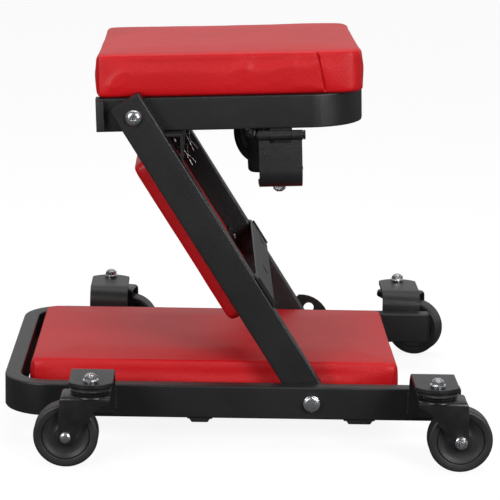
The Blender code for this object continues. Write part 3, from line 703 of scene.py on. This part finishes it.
def board_screws():
    """Screws from below: through the base straps, and through the struts' tabs into the middle board."""
    screw = screw_mesh()
    spots = []
    for strap in ("base_strap_left", "base_strap_right"):
        low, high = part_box(strap)
        for y in (-95 * MM, 95 * MM):
            point = ((low.x + high.x) / 2, y, high.z - 2.5 * MM - GAP)
            spots.append(moved(screw, bolt_frame(point, (0, 0, -1))))
    put("base_board_screws", joined("base_board_screws", spots), "base", ZINC)
    board_low, board_high = local_box("mid_board", MIDDLE)
    tab_under = board_low.z - 3 * MM - 2 * GAP
    down = -(MIDDLE.to_3x3() @ Vector((0, 0, 1)))
    spots = []
    for x in (160 * MM, 312 * MM):
        for sign in (-1, 1):
            point = MIDDLE @ Vector((x, sign * (board_high.y - 4.5 * MM), tab_under))
            spots.append(moved(screw, bolt_frame(point, down)))
    put("mid_board_screws", joined("mid_board_screws", spots), "middle", ZINC)


def plug_mesh(width, height):
    """A push-in plug that sits just inside a tube's end, its outer face at z = 0."""
    half_x, half_y, corner = width / 2, height / 2, 1.5 * MM
    outline = []
    for cx, cy, start in ((1, 1, 0), (-1, 1, 90), (-1, -1, 180), (1, -1, 270)):
        outline += arc((cx * (half_x - corner), cy * (half_y - corner)), corner, start, start + 90, 4)

    def ring(z, scale):
        return [(x * scale, y * scale, z) for x, y in outline]

    shape = bmesh.new()
    levels = ((-9 * MM, 0.97), (-0.8 * MM, 1), (-0.3 * MM, 0.985), (0, 0.93), (0.1 * MM, 0.5))
    loft(shape, [ring(z, scale) for z, scale in levels])
    return finished(shape, "plug")


def tube_plugs():
    plug = plug_mesh(TUBE_WIDTH - 2 * TUBE_WALL - 0.1 * MM, TUBE_HEIGHT - 2 * TUBE_WALL - 0.1 * MM)
    strut_low, strut_high = local_box("strut_far", MIDDLE)
    seat_end = local_box("seat_frame", SEAT)[0].x
    middle_y = strut_high.y - TUBE_WIDTH / 2
    seat_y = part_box("seat_frame")[1].y - TUBE_WIDTH / 2
    for side, sign in SIDES.items():
        for end, x, way in (("foot", strut_low.x, -1), ("head", strut_high.x, 1)):
            spot = Vector((x - way * 0.6 * MM, sign * middle_y, 0))
            place = axes_matrix(spot, Vector((0, way, 0)), Vector((0, 0, 1)), Vector((way, 0, 0)))
            put(f"strut_{end}_plug_{side}", plug, "middle", PLASTIC, MIDDLE @ place)
        spot = Vector((seat_end + 0.6 * MM, sign * seat_y, 0))
        place = axes_matrix(spot, Vector((0, -1, 0)), Vector((0, 0, 1)), Vector((-1, 0, 0)))
        put(f"seat_frame_plug_{side}", plug, "seat", PLASTIC, SEAT @ place)


# ---------------------------------------------------------------- welds


def bead(shape, start, end, radius, section, seed):
    """Adds one weld bead between two points: overlapping ripples that taper at both ends."""
    start, end = section @ Vector(start), section @ Vector(end)
    way = (end - start).normalized()
    side = way.orthogonal().normalized()
    other = way.cross(side)
    length = (end - start).length
    steps = max(8, int(length / (0.45 * MM)))
    rings = []
    for i in range(steps + 1):
        share = i / steps
        taper = min(1, 0.35 + 3.2 * math.sqrt(min(share, 1 - share)))
        ripple = 1 + 0.11 * abs(math.sin(share * length / (1.7 * MM) * math.pi / 2 + seed))
        wander = noise.noise(Vector((share * length * 180, seed * 7.1, 0.5)))
        size = radius * taper * ripple * (1 + 0.18 * wander)
        centre = start + way * share * length + side * wander * 0.35 * MM
        ring = []
        for k in range(12):
            angle = math.tau * k / 12
            ring.append(centre + (side * math.cos(angle) + other * math.sin(angle)) * size)
        rings.append(ring)
    loft(shape, rings)


def weld_piece(name, body, runs, section, radius):
    shape = bmesh.new()
    for i, (start, end) in enumerate(runs):
        bead(shape, start, end, radius, section, i + 1)
    put(name, finished(shape, name, 60), body, POWDER)


def welds():
    """Beads wherever two pieces of steel meet in one body."""
    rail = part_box("base_frame")[1].y
    runs = []
    for name in BASE_CASTERS:
        low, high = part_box(f"caster_bracket_{name}")
        sign = -1 if low.y < 0 else 1
        for x in (low.x - 0.2 * MM, high.x + 0.2 * MM):
            y = sign * (rail + 0.4 * MM)
            runs.append(((x, y, low.z + 3 * MM), (x, y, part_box("base_frame")[1].z - 4 * MM)))
    inner = rail - TUBE_WIDTH
    for strap in ("base_strap_left", "base_strap_right"):
        low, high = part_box(strap)
        for sign in (-1, 1):
            for x in (low.x, high.x):
                z = high.z - 0.6 * MM
                runs.append(((x, sign * (inner + 3 * MM), z), (x, sign * (inner + 14 * MM), z)))
    low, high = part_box("lock_plate")
    runs.append(((low.x + 6 * MM, low.y + 0.3 * MM, low.z), (low.x + 26 * MM, low.y + 0.3 * MM, low.z)))
    weld_piece("base_welds", "base", runs, BASE, 1.9 * MM)

    plate_low, plate_high = local_box("cross_plate", MIDDLE)
    strut_high = local_box("strut_far", MIDDLE)[1].y
    runs = []
    for sign in (-1, 1):
        for x in (plate_low.x, plate_high.x):
            start = (x, sign * (strut_high - TUBE_WIDTH + 2 * MM), -TUBE_HEIGHT / 2 - 0.5 * MM)
            runs.append((start, (x, sign * (strut_high - 3 * MM), start[2])))
    weld_piece("middle_welds", "middle", runs, MIDDLE, 1.7 * MM)

    low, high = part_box("stop_angle")
    runs = []
    for sign in (-1, 1):
        y = sign * (high.y - TUBE_WIDTH - 0.2 * MM)
        runs.append(((high.x - 0.4 * MM, y, high.z - 22 * MM), (high.x - 0.8 * MM, y, low.z + 6 * MM)))
    weld_piece("stop_angle_welds", "middle", runs, BASE, 1.5 * MM)


# ---------------------------------------------------------------- wire clips


def clip_mesh(wire=0.9 * MM):
    """A hairpin clip in XZ: a straight leg, an eye, and a leg with a wave that grips the pin."""
    eye = arc((0, 3.2), 3.2, -90, 150, 14)
    wave = [(4, 4.6), (8, 2.6), (12, 1.4), (15.5, 2.6), (19, 4.4), (22, 4.2), (26, 5.8)]
    path = [(27, 0), (14, 0), (0.5, 0)] + [(-x, z) for x, z in eye] + wave
    curve = bpy.data.curves.new("clip", "CURVE")
    curve.dimensions = "3D"
    curve.bevel_depth = wire
    curve.bevel_resolution = 3
    curve.use_fill_caps = True
    spline = curve.splines.new("NURBS")
    spline.points.add(len(path) - 1)
    for point, (x, z) in zip(spline.points, path):
        point.co = (x * MM, 0, z * MM, 1)
    spline.use_endpoint_u = True
    spline.order_u = 3
    obj = bpy.data.objects.new("clip", curve)
    SCENE.collection.objects.link(obj)
    mesh = baked(obj)
    bpy.data.objects.remove(obj)
    shape = bmesh.new()
    shape.from_mesh(mesh)
    return finished(shape, "clip", 60)


def wire_clips():
    """Two hairpin clips hanging on the far strut's inner face, under the seat."""
    clip = clip_mesh()
    inner = local_box("strut_far", MIDDLE)[1].y - TUBE_WIDTH
    for name, x, z, lean in (("upper", 311 * MM, -11.5 * MM, 186), ("lower", 296 * MM, MM, 184)):
        place = Matrix.Translation((x, inner - 2 * MM, z)) @ Matrix.Rotation(math.radians(lean), 4, "Y")
        put(f"hairpin_clip_{name}", clip, "middle", ZINC, MIDDLE @ place)


# ---------------------------------------------------------------- padded covers


class Pad:
    """A foam pad's place and the shape of its vinyl cover, in its own section's axes."""

    def __init__(self, name, body, section, left_corner, right_corner, slack, swell, crown):
        """Slack draws the unswollen ends and sides in; swell and crown limit how far it all rises."""
        self.name = name
        self.body = body
        self.section = section
        self.low, self.high = local_box(f"{name}_pad", section)
        self.left_corner = left_corner
        self.right_corner = right_corner
        self.end_slack, self.side_slack = slack
        self.end_swell, self.side_swell = swell
        self.crown = crown

    def outline(self, inset):
        """The unswollen outline seen from above, drawn in by the inset all round."""
        left, right = self.low.x + self.end_slack + inset, self.high.x - self.end_slack - inset
        half = self.high.y - self.side_slack - inset
        near_left, near_right = self.left_corner - inset * 0.5, self.right_corner - inset * 0.5
        return (
            arc((right - near_right, half - near_right), near_right, 0, 90, 8)
            + arc((left + near_left, half - near_left), near_left, 90, 180, 8)
            + arc((left + near_left, near_left - half), near_left, 180, 270, 8)
            + arc((right - near_right, near_right - half), near_right, 270, 360, 8)
        )

    def rim_distance(self, point):
        """How far inside the unswollen outline a point lies, corners taken as square."""
        ends = min(point.x - self.low.x, self.high.x - point.x) - self.end_slack
        sides = self.high.y - self.side_slack - abs(point.y)
        return min(ends, sides)

    def room(self, first, normal):
        """How far the cover may swell from a point: most half way up a side, least at the rims."""
        share = (first.z - self.low.z) / (self.high.z - self.low.z)
        side = math.sin(math.pi * min(1, max(0, share))) ** 0.7
        side *= abs(normal.x) * self.end_swell + abs(normal.y) * self.side_swell
        top = self.crown * smoothstep(self.rim_distance(first), 2 * MM, 60 * MM)
        return 0.4 * MM + (top if normal.z > 0.7 else side)


def pad_start(pad, edge):
    """The foam block on its board before its cover is stretched over it, with crisp rims."""
    rings = []
    bottom, top = pad.low.z, pad.high.z
    levels = [(2 * MM, bottom), (0.5 * MM, bottom + 0.8 * MM), (0.0, bottom + 3 * MM)]
    for r, z in arc((0, 0), edge, 0, 90, 4):
        levels.append((edge - r, top - edge + z))
    for drawn_in, z in levels:
        rings.append([(x, y, z) for x, y in pad.outline(drawn_in)])
    shape = bmesh.new()
    loft(shape, rings)
    return finished(shape, f"{pad.name}_start")


def remeshed(mesh, voxel):
    obj = loose(mesh)
    remesh = obj.modifiers.new("voxels", "REMESH")
    remesh.mode = "VOXEL"
    remesh.voxel_size = voxel
    made = baked(obj)
    bpy.data.objects.remove(obj)
    return made


def inflated(mesh, pad, pressure=4.0, frames=12):
    """Stretches the cover by cloth simulation: the rim on the board is held and the rest fills its room."""
    obj = loose(mesh)
    start = [(vertex.co.copy(), vertex.normal.copy()) for vertex in mesh.vertices]
    held = obj.vertex_groups.new(name="held")
    held_below = pad.low.z + 3 * MM
    held.add([vertex.index for vertex in mesh.vertices if vertex.co.z < held_below], 1.0, "REPLACE")
    cloth = obj.modifiers.new("cover", "CLOTH")
    settings = cloth.settings
    settings.quality = 6
    settings.mass = 0.3
    settings.tension_stiffness = 25
    settings.compression_stiffness = 25
    settings.shear_stiffness = 12
    settings.bending_stiffness = 1.2
    settings.use_pressure = True
    settings.uniform_pressure_force = pressure
    settings.vertex_group_mass = "held"
    settings.effector_weights.gravity = 0
    cloth.point_cache.frame_start = 1
    cloth.point_cache.frame_end = frames
    for step in range(1, frames + 1):
        SCENE.frame_set(step)
    swollen = baked(obj)
    bpy.data.objects.remove(obj)
    SCENE.frame_set(1)
    for vertex, (first, normal) in zip(swollen.vertices, start):
        move = vertex.co - first
        room = pad.room(first, normal)
        if move.length > room:
            vertex.co = first + move * (room / move.length)
    return swollen


def subdivided(mesh):
    obj = loose(mesh)
    subdivide = obj.modifiers.new("finer", "SUBSURF")
    subdivide.levels = 1
    subdivide.render_levels = 1
    made = baked(obj)
    bpy.data.objects.remove(obj)
    return made


def cut_lines(shape, point, normal, offsets, keep):
    """Cuts extra edges into the faces that pass the test, on planes at these offsets."""
    for offset in offsets:
        faces = [face for face in shape.faces if keep(face.calc_center_median())]
        edges = {edge for face in faces for edge in face.edges}
        verts = {vert for face in faces for vert in face.verts}
        plane = Vector(point) + Vector(normal) * offset
        cut = [*faces, *edges, *verts]
        bmesh.ops.bisect_plane(shape, geom=cut, dist=0.00001, plane_co=plane, plane_no=normal)


def vertical_fold(shape, pad, foot, head, outward, flap, step, depth):
    """Folds the cover along a line up its side, from foot to head.

    The flap's edge stands proud of a dark groove, on the +1 or -1 side of the line seen from low to high.
    """
    foot, head, outward = Vector(foot), Vector(head), Vector(outward).normalized()
    way = (head - foot).normalized()
    across = outward.cross(way).normalized()
    middle = (foot + head) / 2
    offsets = [v * MM for v in (-7, -4, -2.2, -1.2, -0.5, 0, 0.5, 1.2, 2.2, 4, 7)]

    def near_line(point, wide):
        away = point - middle
        return abs(away.dot(across)) < wide and away.dot(outward) > -24 * MM

    cut_lines(shape, middle, across, offsets, lambda point: near_line(point, 14 * MM))
    for vertex in shape.verts:
        if not near_line(vertex.co, 40 * MM):
            continue
        away = vertex.co - middle
        across_line = away.dot(across) * flap
        facing = smoothstep(away.dot(outward), -9 * MM, -2 * MM)
        up = smoothstep(vertex.co.z, pad.low.z + 1 * MM, pad.low.z + 6 * MM)
        over = 1 - smoothstep(vertex.co.z, pad.high.z - 7 * MM, pad.high.z + 1 * MM)
        hold = facing * up * over
        if across_line > 0:
            move = step * math.exp(-across_line / (11 * MM)) * smoothstep(across_line, 0, 0.5 * MM)
        else:
            move = -depth * math.exp(-(((across_line + 1 * MM) / (1.5 * MM)) ** 2))
        vertex.co += outward * move * hold


def soft_ridge(vertex, start, end, width, height, outward):
    """Lifts a vertex along a faint diagonal wrinkle between two points."""
    span = end - start
    share = (vertex.co - start).dot(span) / span.length_squared
    away = (vertex.co - start) - span * share
    away -= outward * away.dot(outward)
    tail = smoothstep(share, -0.15, 0.35) * (1 - smoothstep(share, 0.6, 1.15))
    vertex.co += outward * height * tail * math.exp(-((away.length / width) ** 2))


def rumpled(shape, pad, height, cell):
    """Slow unevenness of foam under vinyl, least near the board."""
    shape.normal_update()
    moves = []
    for vertex in shape.verts:
        up = smoothstep(vertex.co.z, pad.low.z + 2 * MM, pad.low.z + 12 * MM)
        wave = noise.noise(vertex.co / cell) + 0.4 * noise.noise(vertex.co / cell * 2.7)
        moves.append(vertex.normal * wave * height * up)
    for vertex, move in zip(shape.verts, moves):
        vertex.co += move


def tucked(mesh, pad):
    """Turns the cover under its board as a hem and opens a hollow in the middle for the board."""
    hem, hollow = 20 * MM, 4 * MM
    for vertex in mesh.vertices:
        if vertex.co.z < pad.low.z + 0.6 * MM and vertex.normal.z < -0.5:
            inside = pad.rim_distance(vertex.co) > hem
            vertex.co.z = pad.low.z + (hollow if inside else -GAP / 2)
    return mesh


def cover_mesh(pad, edge, voxel):
    start = remeshed(pad_start(pad, edge), voxel)
    return tucked(subdivided(inflated(start, pad)), pad)


def show_cover(pad, shape):
    mesh = bpy.data.meshes.new(f"{pad.name}_cover")
    shape.to_mesh(mesh)
    shape.free()
    mesh.shade_smooth()
    mesh.transform(pad.section)
    piece = put(f"{pad.name}_pad_cover", mesh, pad.body, VINYL)
    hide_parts(f"{pad.name}_pad")


def opened(mesh):
    shape = bmesh.new()
    shape.from_mesh(mesh)
    return shape


def seat_cover():
    """The seat's thick cover: folds at its corners, a pleat near each front corner, and slack wrinkles."""
    pad = Pad("seat", "seat", SEAT, 7 * MM, 20 * MM, (2.5 * MM, 2.5 * MM), (8 * MM, 2 * MM), 2 * MM)
    shape = opened(cover_mesh(pad, 4 * MM, 4.5 * MM))
    rumpled(shape, pad, 0.35 * MM, 55 * MM)
    half, low, high = pad.high.y, pad.low.z, pad.high.z
    left, right = pad.low.x + 6 * MM, pad.high.x - 6 * MM
    pleat = (224 * MM, 214.5 * MM)
    # Each diagonal's start and end, along and above the seat rail, then its width and height
    wrinkles = (
        (*mm((-31, 31), (-4, 52)), 5.5 * MM, 2 * MM),
        (*mm((108, 32), (143, 66)), 7 * MM, 1.6 * MM),
        (*mm((161, 38), (196, 66)), 8 * MM, 1.4 * MM),
        (*mm((190, 30), (218, 44)), 5 * MM, 1.8 * MM),
    )
    for sign in (-1, 1):
        outward = Vector((0, sign, 0))
        slope = Vector((0.35, sign, 0))
        y = sign * (half - 2 * MM)
        folds = (
            ((left, left), outward, sign, 0.8 * MM, 4.5 * MM),
            (pleat, outward, -sign, 2.6 * MM, 3.2 * MM),
            ((right, right), slope, -sign, 1.5 * MM, 3 * MM),
        )
        for (foot_x, head_x), facing, flap, step, depth in folds:
            foot, head = (foot_x, y, low), (head_x, y, high)
            vertical_fold(shape, pad, foot, head, facing, flap, step, depth)
        shape.normal_update()
        for (x1, z1), (x2, z2), width, height in wrinkles:
            start, end = Vector((x1, y, z1)), Vector((x2, y, z2))
            for vertex in shape.verts:
                if sign * vertex.co.y > half - 12 * MM:
                    soft_ridge(vertex, start, end, width, height, outward)
    for vertex in shape.verts:
        vertex.co.y = min(half, max(-half, vertex.co.y))
    show_cover(pad, shape)


def base_cover():
    """The long low cover on the base, softly rounded, with a small fold at each corner."""
    pad = Pad("base", "base", BASE, 8 * MM, 8 * MM, (MM, MM), (2 * MM, 2 * MM), 3 * MM)
    shape = opened(cover_mesh(pad, 4 * MM, 5 * MM))
    rumpled(shape, pad, 0.4 * MM, 70 * MM)
    half, low, high = pad.high.y, pad.low.z, pad.high.z
    for sign in (-1, 1):
        for x, flap in ((pad.low.x + 6 * MM, 1), (pad.high.x - 6 * MM, -1)):
            foot = (x, sign * half, low)
            head = (x, sign * half, high)
            vertical_fold(shape, pad, foot, head, Vector((0, sign, 0)), sign * flap, 0.8 * MM, 1.4 * MM)
    show_cover(pad, shape)


def middle_cover():
    """The thin cover of the middle section, with softer rims."""
    pad = Pad("mid", "middle", MIDDLE, 10 * MM, 10 * MM, (MM, MM), (MM, MM), 2 * MM)
    shape = opened(cover_mesh(pad, 5 * MM, 4.5 * MM))
    rumpled(shape, pad, 0.3 * MM, 60 * MM)
    show_cover(pad, shape)


# ---------------------------------------------------------------- stage


def mapped(tree, value, low, high, first, second):
    """Takes a value from one range to another, held at both ends."""
    made = tree.nodes.new("ShaderNodeMapRange")
    made.interpolation_type = "SMOOTHSTEP"
    for name, number in (("From Min", low), ("From Max", high), ("To Min", first), ("To Max", second)):
        made.inputs[name].default_value = number
    tree.links.new(value, made.inputs["Value"])
    return made.outputs["Result"]


def floor():
    """A plain pale floor that reads as paper to the camera and takes only a faint shadow."""
    shape = bmesh.new()
    bmesh.ops.create_grid(shape, x_segments=1, y_segments=1, size=12)
    mesh = bpy.data.meshes.new("floor")
    shape.to_mesh(mesh)
    shape.free()
    made, tree, shader, _ = start_finish("pale_floor")
    seen = tree.nodes.new("ShaderNodeLightPath").outputs["Is Camera Ray"]
    tree.links.new(mapped(tree, seen, 0.0, 1.0, 0.1, 0.8), shader.inputs["Base Color"])
    shader.inputs["Roughness"].default_value = 0.9
    shader.inputs["Specular IOR Level"].default_value = 0.1
    paper = tree.nodes.new("ShaderNodeEmission")
    blend = tree.nodes.new("ShaderNodeMixShader")
    share = tree.nodes.new("ShaderNodeMath")
    share.operation = "MULTIPLY"
    share.inputs[1].default_value = 0.8
    tree.links.new(seen, share.inputs[0])
    tree.links.new(share.outputs[0], blend.inputs["Fac"])
    tree.links.new(shader.outputs[0], blend.inputs[1])
    tree.links.new(paper.outputs[0], blend.inputs[2])
    paper.inputs["Strength"].default_value = 1.12
    tree.links.new(blend.outputs[0], tree.nodes["Material Output"].inputs["Surface"])
    mesh.materials.append(made)
    obj = bpy.data.objects.new("floor", mesh)
    obj.location.z = -0.0002
    SCENE.collection.objects.link(obj)


def softbox(name, place, target, size, power):
    light = bpy.data.lights.new(name, "AREA")
    light.shape = "RECTANGLE"
    light.size, light.size_y = size
    light.energy = power
    obj = bpy.data.objects.new(name, light)
    obj.location = place
    obj.rotation_euler = (Vector(target) - Vector(place)).to_track_quat("-Z", "Y").to_euler()
    SCENE.collection.objects.link(obj)


def studio():
    """White to the camera; the object sees a bright wall behind, a dim ceiling and a dark room in front."""
    world = bpy.data.worlds.new("studio")
    world.use_nodes = True
    tree = world.node_tree
    sides = tree.nodes.new("ShaderNodeSeparateXYZ")
    tree.links.new(tree.nodes.new("ShaderNodeTexCoord").outputs["Generated"], sides.inputs[0])
    wall = mapped(tree, sides.outputs["Y"], -0.35, 0.55, 0.05, 0.6)
    ceiling = mapped(tree, sides.outputs["Z"], 0.35, 0.95, 0.0, 0.1)
    room = tree.nodes.new("ShaderNodeMath")
    room.operation = "ADD"
    tree.links.new(wall, room.inputs[0])
    tree.links.new(ceiling, room.inputs[1])
    seen = tree.nodes.new("ShaderNodeMath")
    seen.operation = "MAXIMUM"
    tree.links.new(room.outputs[0], seen.inputs[0])
    tree.links.new(tree.nodes.new("ShaderNodeLightPath").outputs["Is Camera Ray"], seen.inputs[1])
    tree.nodes["Background"].inputs["Color"].default_value = (1, 1, 1, 1)
    tree.links.new(seen.outputs[0], tree.nodes["Background"].inputs["Strength"])
    SCENE.world = world


def lights():
    studio()
    middle = (0, 0, 0.25)
    softbox("top_box", (0.1, 0.2, 2.2), middle, (1.8, 1.4), 12)
    softbox("right_box", (1.5, -2.2, 1.2), middle, (1.0, 1.3), 40)
    softbox("left_box", (-1.6, -2.2, 1.2), middle, (1.0, 1.3), 34)


def camera():
    """A long lens a little above the seat, at the near side."""
    place = Vector((-0.056, -2.561, 0.772))
    yaw, pitch, roll = math.radians(1.44), math.radians(12.61), math.radians(1.26)
    ahead = Vector((math.sin(yaw) * math.cos(pitch), math.cos(yaw) * math.cos(pitch), -math.sin(pitch)))
    level = Vector((math.cos(yaw), -math.sin(yaw), 0))
    upright = level.cross(ahead)
    right = level * math.cos(roll) + upright * math.sin(roll)
    up = upright * math.cos(roll) - level * math.sin(roll)
    data = bpy.data.cameras.new("camera")
    data.lens = 149.5
    data.sensor_width = 36
    obj = bpy.data.objects.new("camera", data)
    obj.matrix_world = axes_matrix(place, right, up, -ahead)
    SCENE.collection.objects.link(obj)
    SCENE.camera = obj


# ---------------------------------------------------------------- assembly

dress_frame()
casters()
pivot_bolts()
board_screws()
tube_plugs()
welds()
wire_clips()
seat_cover()
base_cover()
middle_cover()
floor()
lights()
camera()
SCENE.view_settings.view_transform = "Standard"
